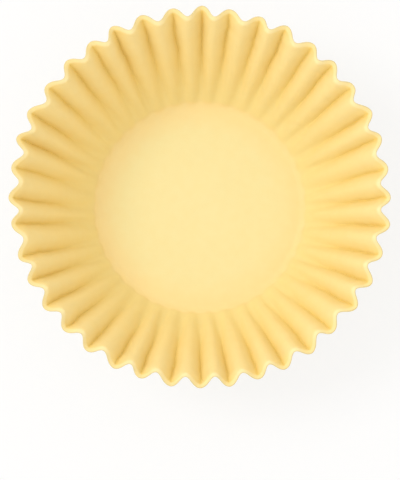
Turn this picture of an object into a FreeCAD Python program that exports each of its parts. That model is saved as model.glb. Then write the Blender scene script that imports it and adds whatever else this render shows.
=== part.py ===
import FreeCAD, Part
import os
import Sketcher
from FreeCAD import Placement, Rotation, Vector
from math import acos, atan, pi, radians

# Cupcake liner: one round sheet of greaseproof paper, pressed into a cup that
# stands on its flat floor. The wall widens upward and is gathered in radial
# pleats, which begin above the rounded floor corner and deepen to the rim.
# Origin at the centre of the floor's underside, +Z up, millimetres.

document = FreeCAD.newDocument("cupcake_liner")
sizes = document.addObject("Spreadsheet::Sheet", "sizes")

# Driving dimensions, taken over the outside of the paper.
driving_sizes = {
    "base_diameter": 50.0,
    "rim_diameter": 86.8,
    "cup_height": 31.4,
    "paper_thickness": 0.25,
    "corner_radius": 3.0,
    "smooth_band": 1.5,
    "pleat_count": 40,
    "pleat_depth": 2.4,
    "crest_width": 0.8,
    "trough_width": 0.9,
}

# The troughs between the pleats lie on one cone, which meets the table plane
# at the base circle and has the full height at the rim.
trough_cone = {
    "base_radius": "=base_diameter / 2",
    "rim_radius": "=rim_diameter / 2",
    "trough_radius": "=rim_radius - pleat_depth",
    "trough_lean": "=atan((trough_radius - base_radius) / cup_height)",
    "flat_radius": "=base_radius - corner_radius * tan(45 deg - trough_lean / 2)",
    "corner_height": "=corner_radius * (1 - sin(trough_lean))",
}

# The rim is the edge of the round blank, so all of it lies at one distance
# from the cone's apex below the table plane.
rim_edge = {
    "apex_depth": "=base_radius / tan(trough_lean)",
    "blank_radius": "=hypot(trough_radius; cup_height + apex_depth)",
    "crest_height": "=sqrt(blank_radius ^ 2 - rim_radius ^ 2) - apex_depth",
}

# The crests are straight lines that leave the cone above a smooth band and
# lean out further than the troughs.
crest_lines = {
    "start_height": "=corner_height + smooth_band",
    "start_radius": "=base_radius + start_height * tan(trough_lean)",
    "crest_lean": "=atan((rim_radius - start_radius) / (crest_height - start_height))",
    "root_radius": "=start_radius - smooth_band * tan(crest_lean)",
    "crest_depth": "=pleat_depth * cos(crest_lean) + (cup_height - crest_height) * sin(crest_lean)",
    "half_pitch": "=trough_radius * pi / pleat_count",
    "flank_angle": "=atan((half_pitch - trough_width / 2 - crest_width / 2) / crest_depth)",
}

cells = driving_sizes | trough_cone | rim_edge | crest_lines
for row, (name, content) in enumerate(cells.items(), 1):
    sizes.set(f"A{row}", name)
    sizes.set(f"B{row}", str(content))
    sizes.setAlias(f"B{row}", name)
document.recompute()


def origin_item(body, role):
    """Plane or axis of the body's own origin."""
    return next(item for item in body.Origin.OriginFeatures if item.Role == role)


def sketch_on(body, name, role):
    """Empty sketch on one of the body's origin planes."""
    sketch = body.newObject("Sketcher::SketchObject", name)
    sketch.AttachmentSupport = [(origin_item(body, role), "")]
    sketch.MapMode = "FlatFace"
    return sketch


def join_ends(sketch, curves):
    """Close a chain of curves, each end on the next one's start."""
    for curve, following in zip(curves, curves[1:] + curves[:1]):
        sketch.addConstraint(Sketcher.Constraint("Coincident", curve, 2, following, 1))


def bind(sketch, kind, places, name, formula):
    """Dimension between the places, tied to the sheet by its formula."""
    value = sketch.evalExpression(formula) * 1.0
    index = sketch.addConstraint(Sketcher.Constraint(kind, *places, value))
    sketch.renameConstraint(index, name)
    sketch.setExpression(f"Constraints.{name}", formula)


def turn_smooth_cup(body, skin, top):
    """Floor, rounded corner and the troughs' cone, turned as a solid up to the top."""
    profile = sketch_on(body, f"{body.Name}_profile", "XZ_Plane")
    inset = profile.evalExpression(skin)
    height = profile.evalExpression(top)
    centre = Vector(sizes.flat_radius, sizes.corner_radius, 0)
    circle = Part.Circle(centre, Vector(0, 0, 1), sizes.corner_radius - inset)
    corner = Part.ArcOfCircle(circle, -pi / 2, -radians(sizes.trough_lean.Value))
    axis_start = Vector(0, inset, 0)
    axis_end = Vector(0, height, 0)
    wall_end = Vector(sizes.trough_radius, height, 0)
    floor_line = profile.addGeometry(Part.LineSegment(axis_start, corner.StartPoint))
    corner_arc = profile.addGeometry(corner)
    wall_line = profile.addGeometry(Part.LineSegment(corner.EndPoint, wall_end))
    top_line = profile.addGeometry(Part.LineSegment(wall_end, axis_end))
    axis_line = profile.addGeometry(Part.LineSegment(axis_end, axis_start))
    profile.addConstraint(Sketcher.Constraint("Tangent", floor_line, 2, corner_arc, 1))
    profile.addConstraint(Sketcher.Constraint("Tangent", corner_arc, 2, wall_line, 1))
    profile.addConstraint(Sketcher.Constraint("Coincident", wall_line, 2, top_line, 1))
    profile.addConstraint(Sketcher.Constraint("Coincident", top_line, 2, axis_line, 1))
    profile.addConstraint(Sketcher.Constraint("Coincident", axis_line, 2, floor_line, 1))
    profile.addConstraint(Sketcher.Constraint("Horizontal", floor_line))
    profile.addConstraint(Sketcher.Constraint("Horizontal", top_line))
    profile.addConstraint(Sketcher.Constraint("Vertical", axis_line))
    profile.addConstraint(Sketcher.Constraint("PointOnObject", floor_line, 1, -2))
    bind(profile, "DistanceX", (-1, 1, floor_line, 2), "flat_radius", "sizes.flat_radius")
    bind(profile, "DistanceY", (-1, 1, corner_arc, 3), "corner_centre", "sizes.corner_radius")
    bind(profile, "Radius", (corner_arc,), "corner_radius", f"sizes.corner_radius - {skin}")
    bind(profile, "Angle", (wall_line,), "wall_slope", "90 deg - sizes.trough_lean")
    bind(profile, "DistanceY", (-1, 1, wall_line, 2), "top_height", top)

    turned = body.newObject("PartDesign::Revolution", f"{body.Name}_turned")
    turned.Profile = profile
    turned.ReferenceAxis = (profile, ["V_Axis"])
    turned.Angle = 360


def gather_pleats(body, skin, top):
    """Wedge-shaped pleat, run up the crest line and repeated round the wall."""
    section = sketch_on(body, f"{body.Name}_section", "XY_Plane")
    section.AttachmentOffset = Placement(Vector(), Rotation(Vector(0, 1, 0), sizes.crest_lean.Value))
    section.setExpression("AttachmentOffset.Base.x", "sizes.root_radius")
    section.setExpression("AttachmentOffset.Base.z", "sizes.corner_height")
    section.setExpression("AttachmentOffset.Rotation.Angle", "sizes.crest_lean")
    root_inset = "sizes.crest_depth + sizes.trough_width / 2"
    crest = section.evalExpression(skin) * -1.0
    root = section.evalExpression(root_inset) * -1.0
    corners = [
        Vector(crest, -sizes.crest_width / 2, 0),
        Vector(crest, sizes.crest_width / 2, 0),
        Vector(root, sizes.half_pitch, 0),
        Vector(root, -sizes.half_pitch, 0),
    ]
    crest_line, flank, root_line, other_flank = [
        section.addGeometry(Part.LineSegment(start, end))
        for start, end in zip(corners, corners[1:] + corners[:1])
    ]
    join_ends(section, [crest_line, flank, root_line, other_flank])
    section.addConstraint(Sketcher.Constraint("Symmetric", crest_line, 1, crest_line, 2, -1))
    section.addConstraint(Sketcher.Constraint("Symmetric", root_line, 2, root_line, 1, -1))
    bind(section, "DistanceX", (crest_line, 2, -1, 1), "crest_inset", skin)
    bind(section, "DistanceX", (root_line, 1, -1, 1), "root_inset", root_inset)
    bind(section, "Angle", (flank,), "flank_slope", "180 deg - sizes.flank_angle")
    bind(section, "DistanceY", (-1, 1, crest_line, 2), "crest_half_width",
         f"sizes.crest_width / 2 - ({skin}) * tan(45 deg - sizes.flank_angle / 2)")

    pleat = body.newObject("PartDesign::Pad", f"{body.Name}_pleat")
    pleat.Profile = section
    pleat.setExpression("Length", f"({top} - sizes.corner_height) / cos(sizes.crest_lean)")

    pleats = body.newObject("PartDesign::PolarPattern", f"{body.Name}_pleats")
    pleats.Originals = [pleat]
    pleats.Axis = (origin_item(body, "Z_Axis"), [""])
    pleats.Angle = 360
    pleats.setExpression("Occurrences", "sizes.pleat_count")
    body.Tip = pleats


def trim_at_blank_edge(body):
    """Turn away what lies beyond the edge of the round blank."""
    beyond = sketch_on(body, f"{body.Name}_beyond_rim", "XZ_Plane")
    circle = Part.Circle(Vector(0, -sizes.apex_depth, 0), Vector(0, 0, 1), sizes.blank_radius)
    outer_angle = atan(sizes.crest_height / sizes.rim_radius)
    inner_angle = acos(sizes.base_radius / sizes.blank_radius)
    edge = Part.ArcOfCircle(circle, outer_angle, inner_angle)
    outer_low = edge.StartPoint
    inner_low = edge.EndPoint
    inner_high = Vector(inner_low.x, sizes.cup_height + sizes.base_radius, 0)
    outer_high = Vector(outer_low.x, inner_high.y, 0)
    blank_edge = beyond.addGeometry(edge)
    inner_line = beyond.addGeometry(Part.LineSegment(inner_low, inner_high))
    top_line = beyond.addGeometry(Part.LineSegment(inner_high, outer_high))
    outer_line = beyond.addGeometry(Part.LineSegment(outer_high, outer_low))
    join_ends(beyond, [blank_edge, inner_line, top_line, outer_line])
    beyond.addConstraint(Sketcher.Constraint("PointOnObject", blank_edge, 3, -2))
    beyond.addConstraint(Sketcher.Constraint("Vertical", inner_line))
    beyond.addConstraint(Sketcher.Constraint("Horizontal", top_line))
    beyond.addConstraint(Sketcher.Constraint("Vertical", outer_line))
    bind(beyond, "DistanceY", (blank_edge, 3, -1, 1), "apex_depth", "sizes.apex_depth")
    bind(beyond, "Radius", (blank_edge,), "blank_radius", "sizes.blank_radius")
    bind(beyond, "DistanceX", (-1, 1, inner_line, 1), "inner_end", "sizes.base_radius")
    bind(beyond, "DistanceX", (-1, 1, outer_line, 1), "outer_end",
         "sizes.rim_radius + sizes.pleat_depth")
    bind(beyond, "DistanceY", (-1, 1, top_line, 1), "top_height",
         "sizes.cup_height + sizes.base_radius")

    trim = body.newObject("PartDesign::Groove", f"{body.Name}_trim")
    trim.Profile = beyond
    trim.ReferenceAxis = (beyond, ["V_Axis"])
    trim.Angle = 360
    body.Tip = trim


def pleated_form(name, skin, top):
    """Solid pleated cup under one face of the paper, which lies skin inside the outer face."""
    body = document.addObject("PartDesign::Body", name)
    turn_smooth_cup(body, skin, top)
    gather_pleats(body, skin, top)
    return body


# The outer face ends at the edge of the blank. The inner face runs on past
# it, so that the cup is open, and the paper is what lies between the two.
outer_face = pleated_form("outer_face", "0", "sizes.cup_height + sizes.pleat_depth / 2")
trim_at_blank_edge(outer_face)
inner_face = pleated_form("inner_face", "sizes.paper_thickness", "sizes.cup_height + sizes.pleat_depth")

liner = document.addObject("Part::Cut", "liner")
liner.Label = "liner"
liner.Base = outer_face
liner.Tool = inner_face
document.recompute()

for item in document.Objects:
    if "Invalid" in item.State or "Error" in item.State:
        raise RuntimeError(f"{item.Label} did not build: {item.State}")
if liner.Shape.isNull() or not liner.Shape.isValid():
    raise RuntimeError("the liner has no valid shape")
if len(liner.Shape.Solids) != 1:
    raise RuntimeError(f"the liner should be one solid, not {len(liner.Shape.Solids)}")

os.makedirs("parts", exist_ok=True)
liner.Shape.exportStep(f"parts/{liner.Label}.step")
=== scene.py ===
import bmesh
import bpy
import random
from math import atan2, cos, floor, hypot, pi, radians, sin, tau
from mathutils import Matrix, Vector, noise


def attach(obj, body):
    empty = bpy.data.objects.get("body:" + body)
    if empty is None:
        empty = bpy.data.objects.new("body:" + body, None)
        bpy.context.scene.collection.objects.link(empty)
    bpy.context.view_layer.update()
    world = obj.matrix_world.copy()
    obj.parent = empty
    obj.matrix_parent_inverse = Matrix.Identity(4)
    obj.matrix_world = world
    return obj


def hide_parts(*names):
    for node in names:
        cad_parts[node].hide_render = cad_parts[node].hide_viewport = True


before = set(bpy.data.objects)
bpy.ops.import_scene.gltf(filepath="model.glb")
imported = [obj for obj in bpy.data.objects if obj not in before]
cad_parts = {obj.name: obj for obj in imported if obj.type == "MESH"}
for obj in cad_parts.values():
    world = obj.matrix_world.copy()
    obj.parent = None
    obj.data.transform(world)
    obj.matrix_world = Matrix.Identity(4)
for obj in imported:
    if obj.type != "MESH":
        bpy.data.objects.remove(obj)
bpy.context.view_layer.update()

# The liner: one round sheet of thin greaseproof paper, pressed hot into a cup.
# The floor stays flat. The wall leans out, and its spare length is gathered in
# forty pleats, soft above the floor and sharply creased towards the flared lip.
base_radius = 0.0250
rim_radius = 0.0411
cup_height = 0.0318
paper = 0.00022
corner_bend = 0.0012
pleats = 40
columns = 18
rings_on_floor = 8
rings_at_corner = 4
rings_up_wall = 31
rings_at_lip = 4
wall_lean = atan2(rim_radius - base_radius, cup_height)
wall_length = hypot(rim_radius - base_radius, cup_height)
outside_to_middle = paper * 0.6

bm = bmesh.new()
centre = bm.verts.new((0, 0, paper / 2))
corner = bm.verts.new((base_radius - outside_to_middle, 0, paper / 2))
paper_edge = bm.verts.new((rim_radius - outside_to_middle, 0, cup_height))
bm.edges.new((centre, corner))
bm.edges.new((corner, paper_edge))
bmesh.ops.bevel(bm, geom=[corner], offset=corner_bend, segments=6, profile=0.5,
                affect="VERTICES", material=-1)


def along(line):
    """How far out and up a line of the profile lies."""
    return sum(vert.co.x + vert.co.z for vert in line.verts)


def lies_flat(line):
    """Whether a line of the profile lies in the floor."""
    first, last = line.verts
    return first.co.z == last.co.z


bmesh.ops.subdivide_edges(bm, edges=[max(bm.edges, key=along)], cuts=rings_up_wall)
lip_lines = sorted(bm.edges, key=along)[-2:]
bmesh.ops.subdivide_edges(bm, edges=lip_lines, cuts=rings_at_lip)
bmesh.ops.subdivide_edges(bm, edges=[min(bm.edges, key=along)], cuts=rings_on_floor)
corner_line = max(filter(lies_flat, bm.edges), key=along)
bmesh.ops.subdivide_edges(bm, edges=[corner_line], cuts=rings_at_corner)
bmesh.ops.spin(bm, geom=bm.verts[:] + bm.edges[:], cent=(0, 0, 0), axis=(0, 0, 1),
               angle=tau, steps=pleats * columns, use_merge=True)
bmesh.ops.remove_doubles(bm, verts=bm.verts, dist=1e-6)
bmesh.ops.recalc_face_normals(bm, faces=bm.faces)

# No two pleats come out of the press alike: each crest stands a little aside
# of its place, reaches more or less far, and wanders on its way up the wall.
draw = random.Random(7)
aside = [radians(draw.uniform(-0.7, 0.7)) for _ in range(pleats)]
reach = [draw.uniform(-0.00025, 0.00025) for _ in range(pleats)]
fullness = [draw.uniform(0.9, 1.1) for _ in range(pleats)]
wander = [(radians(draw.uniform(-0.2, 0.2)), draw.uniform(1.5, 3.5),
           draw.uniform(0, tau)) for _ in range(pleats)]
skew = [draw.uniform(-0.05, 0.05) for _ in range(pleats)]
crumples = ((radians(0.4), 6), (radians(0.35), 17))
crumples_apart = 3.7

# A pair says where a change starts and where it ends, as shares of the wall's
# height, as metres below the rim, or for the foot as radii on the floor.
pleat_depth = 0.0027
deepening = 0.72
last_stretch = (0.9, 1)
last_at_rim = 0.06
crest_crowding = 0.4
on_a_crest = 1e-4
leaning_starts = (0, 0.2)
crest_at_rim, crest_in_crease, crest_at_foot = 0.55, 0.08, 0.50
root_at_rim, root_below = 0.34, 0.50
crease_opens = (0, 0.0035)
crease_softens = (0.016, 0.032)
crease_depth = 0.00022
crease_reach = 0.27
crease_top = (0.0006, 0.002)
crease_fades = (0.1, 0.8)
shade_at_rim, shade_below = 0.16, 0.38
shade_widens = (0, 0.020)
lip = 0.0014
lip_lean = radians(55)
lip_line = 0.0003
cut_line = 0.0004
foot_ring = (0.018, 0.0245)
foot_height = 0.06
dome_height = 0.0003
dome_radius = 0.022
floor_ripple = 110
wall_ripple = 300
ripple_depth = 0.00007
ripple_starts = (0, 0.25)


def rising(value, start, end):
    """Smooth rise from 0 at the start to 1 at the end."""
    share = min(max((value - start) / (end - start), 0), 1)
    return share * share * (3 - 2 * share)


def between(first, last, share):
    """A value at a share of the way from the first to the last."""
    return first + (last - first) * share


def crest_angle(index, climb):
    """Where the crest of a pleat stands at a share of the wall's height."""
    pleat = index % pleats
    drift, turns, start = wander[pleat]
    lean = aside[pleat] + drift * sin(start + turns * tau * climb) * climb
    for size, often in crumples:
        bend = noise.noise((crumples_apart * pleat, often * climb, 0))
        lean += size * bend * climb
    return index * tau / pleats + lean


def fold_height(across, below_rim):
    """Height of a fold, from 1 on its crest to 0 at its root. The crest is wide at
    the rim, sharp below it and round again above the floor."""
    sharp = rising(below_rim, *crease_opens)
    soft = rising(below_rim, *crease_softens)
    crest_round = between(crest_at_rim, crest_in_crease, sharp)
    crest_round = between(crest_round, crest_at_foot, soft)
    root_round = between(root_at_rim, root_below, sharp)
    slope = 1 / (1 - (crest_round + root_round) / 2)
    if across < crest_round:
        return 1 - slope * across * across / (2 * crest_round)
    if across > 1 - root_round:
        return slope * (1 - across) ** 2 / (2 * root_round)
    return 1 - slope * (across - crest_round / 2)


# Values that the colour follows: how far up the wall a point lies, how near a fold's
# crest, and masks for painted shade along the creases and at the foot of the wall, a
# painted highlight on the lip and a painted dark line at the cut edge.
up_wall, ridge, painted_fold_line_mask, painted_rim_highlight_band, painted_outline_mask, painted_corner_shade_mask = (
    bm.verts.layers.float.new(name)
    for name in ("up_wall", "ridge", "painted_fold_line_mask", "painted_rim_highlight_band", "painted_outline_mask", "painted_corner_shade_mask"))
for vert in bm.verts:
    radius = hypot(vert.co.x, vert.co.y)
    climb = max(radius - base_radius, 0) / (rim_radius - base_radius)
    vert[up_wall] = climb
    vert[ridge] = 0.5
    # Mask of painted warm shade on the floor's outer ring and the foot of the wall.
    vert[painted_corner_shade_mask] = rising(radius, *foot_ring) * (1 - rising(climb, 0, foot_height))
    if climb <= 0:
        dome = dome_height * (0.5 + 0.5 * cos(pi * min(radius / dome_radius, 1)))
        vert.co.z += dome + dome * 0.5 * noise.noise(vert.co * floor_ripple)
        continue

    # The columns crowd at the crests, where the paper turns.
    place = atan2(vert.co.y, vert.co.x) % tau / tau * pleats
    index = floor(place + on_a_crest)
    here, there = index % pleats, (index + 1) % pleats
    share = place - index
    share -= crest_crowding * sin(tau * share) / tau
    across = 1 - abs(1 - 2 * share)
    turned = share + skew[here] * sin(pi * share) ** 2
    straight = (index + share) * tau / pleats
    leaning = between(crest_angle(index, climb), crest_angle(index + 1, climb), turned)
    angle = between(straight, leaning, rising(climb, *leaning_starts))

    below_rim = (1 - climb) * wall_length
    height = fold_height(across, below_rim)
    depth = pleat_depth * between(fullness[here], fullness[there], share)
    depth *= between(climb ** deepening, rising(climb, *last_stretch), last_at_rim)
    push = depth * height + between(reach[here], reach[there], share) * climb
    pinched = rising(below_rim, *crease_top) * rising(climb, *crease_fades)
    push += crease_depth * max(1 - across / crease_reach, 0) ** 2 * pinched
    ripple = ripple_depth * noise.noise(vert.co * wall_ripple)
    push += ripple * rising(climb, *ripple_starts)

    flared = max(lip - below_rim, 0)
    outward = radius + push * cos(wall_lean) + flared * (sin(lip_lean) - sin(wall_lean))
    lowered = push * sin(wall_lean) + flared * (cos(wall_lean) - cos(lip_lean))
    vert.co = (outward * cos(angle), outward * sin(angle), vert.co.z - lowered)

    # This value carries painted shade: where a fold stands out furthest, which is a
    # groove inside the cup, the painted shade is deepest.
    vert[ridge] = 1 - height
    # Mask of painted shade along the creases, narrow at the rim and wider below.
    shaded = between(shade_at_rim, shade_below, rising(below_rim, *shade_widens))
    vert[painted_fold_line_mask] = max(1 - across / shaded, 0) * pinched
    # Mask of a pale painted highlight on the flared lip.
    vert[painted_rim_highlight_band] = 1 - rising(below_rim, lip - lip_line, lip)
    # Mask of a painted dark line of shade along the cut edge.
    vert[painted_outline_mask] = max(1 - below_rim / cut_line, 0)


def placed(name, data):
    """A new object of the scene that shows a mesh, a lamp or a camera."""
    thing = bpy.data.objects.new(name, data)
    bpy.context.scene.collection.objects.link(thing)
    return thing


sheet_mesh = bpy.data.meshes.new("paper_liner")
bm.to_mesh(sheet_mesh)
bm.free()
sheet_mesh.shade_smooth()
paper_liner = placed("paper_liner", sheet_mesh)
thickness = paper_liner.modifiers.new("thickness", "SOLIDIFY")
thickness.thickness = paper
thickness.offset = 0

white = (1, 1, 1, 1)
floor_dye = (0.920, 0.845, 0.480, 1)
# The corner, wall and rim colours are the paper's dye deepened with painted bounce
# light, the yellow light caught between the pleats inside the cup.
corner_colour_painted_bounce = (0.965, 0.842, 0.430, 1)
wall_colour_painted_bounce = (0.975, 0.820, 0.400, 1)
rim_colour_painted_bounce = (0.965, 0.820, 0.420, 1)
outside_dye = (0.945, 0.855, 0.520, 1)
# A pale painted highlight on the lip, mixed in at this share.
painted_rim_highlight = (0.990, 0.920, 0.620, 1)
painted_rim_highlight_share = 0.3
# Painted shade in the outward folds, which are grooves inside the cup.
painted_groove_shade = (0.985, 0.930, 0.730, 1)
cloud_shade = (0.995, 0.980, 0.940, 1)
# Painted shade along the creases.
painted_fold_line_shade = (0.950, 0.910, 0.700, 1)
# Painted warm shade where the floor meets the wall.
painted_corner_shade = (1.040, 0.965, 0.890, 1)
# A painted dark line of shade along the cut edge.
painted_outline_shade = (0.480, 0.490, 0.340, 1)
shine_through = (1.000, 0.930, 0.550, 1)
clouds_per_metre = 420
fibres_per_metre = 2400
fibre_height = 0.00006
fibre_strength = 0.2
paper_roughness = 0.6
paper_gloss = 0.25
let_through = 0.25


def empty_tree(owner):
    """The nodes and links of a new material or world, with nothing in them."""
    owner.use_nodes = True
    owner.node_tree.nodes.clear()
    return owner.node_tree.nodes, owner.node_tree.links


def connect(socket, entry):
    """Give a socket a fixed value or what another node sends."""
    if isinstance(entry, bpy.types.NodeSocket):
        links.new(entry, socket)
    else:
        socket.default_value = entry


def new_node(kind, entries):
    """A new node, with a value or a link at each named or counted input."""
    node = nodes.new("ShaderNode" + kind)
    for name, entry in entries.items():
        connect(node.inputs[name], entry)
    return node


def attribute(name):
    """A value that the paper's mesh carries."""
    node = nodes.new("ShaderNodeAttribute")
    node.attribute_name = name
    return node.outputs["Fac"]


def graded(value, *steps):
    """A colour that follows a value, from steps of place and colour."""
    node = new_node("ValToRGB", {"Fac": value})
    ramp = node.color_ramp
    ramp.elements.remove(ramp.elements[1])
    ramp.elements[0].position, ramp.elements[0].color = steps[0]
    for place, colour in steps[1:]:
        ramp.elements.new(place).color = colour
    return node.outputs["Color"]


def mixed(kind, share, under, over):
    """Two colours, mixed by a fixed share or by a value."""
    node = nodes.new("ShaderNodeMix")
    node.data_type = "RGBA"
    node.blend_type = kind
    for name, entry in (("Factor", share), ("A", under), ("B", over)):
        socket = next(item for item in node.inputs
                      if item.name == name and item.enabled)
        connect(socket, entry)
    return next(item for item in node.outputs if item.enabled)


def calculated(operation, first, second):
    """What a sum gives for two values."""
    node = new_node("Math", {0: first, 1: second})
    node.operation = operation
    return node.outputs[0]


def cloudy(coordinates, grains_per_metre, detail):
    """Cloudy noise of one fineness."""
    entries = {"Vector": coordinates, "Scale": grains_per_metre, "Detail": detail}
    return new_node("TexNoise", entries).outputs["Fac"]


greaseproof = bpy.data.materials.new("greaseproof_paper")
nodes, links = empty_tree(greaseproof)
object_place = nodes.new("ShaderNodeTexCoord").outputs["Object"]
cloud = cloudy(object_place, clouds_per_metre, 5)
fibre = cloudy(object_place, fibres_per_metre, 3)

# The paper's colour: painted bounce light deepens it up the wall, painted shade darkens
# the outward folds, the creases and the foot of the wall, a painted highlight pales the
# lip and a painted dark line marks the cut edge. Only the clouds are the paper's own
# mottle.
paper_colour_and_painted_light = graded(attribute("up_wall"), (0.0, floor_dye), (0.06, corner_colour_painted_bounce),
             (0.5, wall_colour_painted_bounce), (1.0, rim_colour_painted_bounce))
paper_colour_and_painted_light.node.name = "painted_bounce_up_the_wall"
painted_groove_ramp = graded(attribute("ridge"), (0.0, painted_groove_shade), (0.8, white))
paper_colour_and_painted_light = mixed("MULTIPLY", attribute("up_wall"), paper_colour_and_painted_light, painted_groove_ramp)
cloud_tone = graded(cloud, (0.3, cloud_shade), (0.7, white))
paper_colour_and_painted_light = mixed("MULTIPLY", 1.0, paper_colour_and_painted_light, cloud_tone)
paper_colour_and_painted_light = mixed("MULTIPLY", attribute("painted_fold_line_mask"), paper_colour_and_painted_light, painted_fold_line_shade)
paper_colour_and_painted_light = mixed("MULTIPLY", attribute("painted_corner_shade_mask"), paper_colour_and_painted_light, painted_corner_shade)
painted_rim_highlight_amount = calculated("MULTIPLY", attribute("painted_rim_highlight_band"), painted_rim_highlight_share)
paper_colour_and_painted_light = mixed("MIX", painted_rim_highlight_amount, paper_colour_and_painted_light, painted_rim_highlight)
paper_colour_and_painted_light = mixed("MULTIPLY", attribute("painted_outline_mask"), paper_colour_and_painted_light, painted_outline_shade)

surface_fibre = new_node("Bump", {
    "Strength": fibre_strength, "Distance": fibre_height, "Height": fibre})
matt_face = new_node("BsdfPrincipled", {
    "Base Color": paper_colour_and_painted_light, "Roughness": paper_roughness,
    "Specular IOR Level": paper_gloss, "Normal": surface_fibre.outputs["Normal"]})
light_through = new_node("BsdfTranslucent", {
    "Color": mixed("MULTIPLY", 1.0, paper_colour_and_painted_light, shine_through)})
thin_paper = new_node("MixShader", {
    "Fac": let_through, 1: matt_face.outputs["BSDF"],
    2: light_through.outputs["BSDF"]})
new_node("OutputMaterial", {"Surface": thin_paper.outputs["Shader"]})

# The outside of the cup is the same paper, paler because no light is caught
# between its pleats. It is the mesh's own side, with the first material, and the
# thickness gives the second one to the inside and the cut edge.
outside = greaseproof.copy()
outside.name = "greaseproof_outside"
for step in outside.node_tree.nodes["painted_bounce_up_the_wall"].color_ramp.elements:
    step.color = outside_dye
sheet_mesh.materials.append(outside)
sheet_mesh.materials.append(greaseproof)
thickness.material_offset = 1
thickness.material_offset_rim = 1

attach(paper_liner, "root")
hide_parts("liner")

# The studio floor: one wide sheet of matt white paper under the liner. The
# camera sees it almost evenly white, and it keeps a faint part of the shadow.
floor_reach = 4
floor_level = -0.00005
floor_white = (0.9, 0.9, 0.9, 1)
floor_glow = 0.95
glow_share = 0.8

bm = bmesh.new()
bmesh.ops.create_grid(bm, x_segments=1, y_segments=1, size=floor_reach,
                      matrix=Matrix.Translation((0, 0, floor_level)))
floor_mesh = bpy.data.meshes.new("studio_floor")
bm.to_mesh(floor_mesh)
bm.free()
studio_floor = placed("studio_floor", floor_mesh)


def seen_directly(share):
    """A share for rays that come from the camera, straight or by gloss or glass."""
    path = nodes.new("ShaderNodeLightPath").outputs
    seen = calculated("MAXIMUM", path["Is Camera Ray"], path["Is Glossy Ray"])
    seen = calculated("MAXIMUM", seen, path["Is Transmission Ray"])
    return calculated("MULTIPLY", seen, share)


white_paper = bpy.data.materials.new("studio_white")
nodes, links = empty_tree(white_paper)
matt_white = new_node("BsdfDiffuse", {"Color": floor_white})
even_white = new_node("Emission", {"Strength": floor_glow})
seen_floor = new_node("MixShader", {
    "Fac": seen_directly(glow_share), 1: matt_white.outputs["BSDF"],
    2: even_white.outputs["Emission"]})
new_node("OutputMaterial", {"Surface": seen_floor.outputs["Shader"]})
floor_mesh.materials.append(white_paper)

# The studio light: a pale room on all sides and one round softbox, high on the
# left and a little behind the liner. The backdrop is plain white to the camera.
room_light = 1.1
room_tint = (1.0, 0.98, 0.95, 1)
softbox_watts = 4.7
softbox_width = 0.5
softbox_place = Vector((-0.642, 0.18, 0.996))

studio = bpy.data.worlds.new("studio")
bpy.context.scene.world = studio
nodes, links = empty_tree(studio)
room = new_node("Background", {"Color": room_tint, "Strength": room_light})
backdrop = new_node("Background", {"Color": white, "Strength": 1.0})
seen_room = new_node("MixShader", {
    "Fac": seen_directly(1.0), 1: room.outputs["Background"],
    2: backdrop.outputs["Background"]})
new_node("OutputWorld", {"Surface": seen_room.outputs["Shader"]})

lamp = bpy.data.lights.new("softbox", "AREA")
lamp.shape = "DISK"
lamp.size = softbox_width
lamp.energy = softbox_watts
softbox = placed("softbox", lamp)
softbox.location = softbox_place
softbox.rotation_euler = (-softbox_place).to_track_quat("-Z", "Y").to_euler()

# The camera looks down into the cup, leaning a little towards its front, with
# the cup above the middle of the picture.
elevation = radians(85.7)
distance = 0.6
rim_height = 0.0314
cup_above_middle = 0.010086

lens = bpy.data.cameras.new("camera")
lens.lens = 197.2
lens.sensor_width = 36
camera = placed("camera", lens)
back = Vector((0, -cos(elevation), sin(elevation)))
picture_up = Vector((0, sin(elevation), cos(elevation)))
aim = Vector((0, 0, rim_height)) - picture_up * cup_above_middle
camera.location = aim + back * distance
camera.rotation_mode = "QUATERNION"
camera.rotation_quaternion = (-back).to_track_quat("-Z", "Y")
bpy.context.scene.camera = camera
bpy.context.scene.view_settings.view_transform = "Standard"
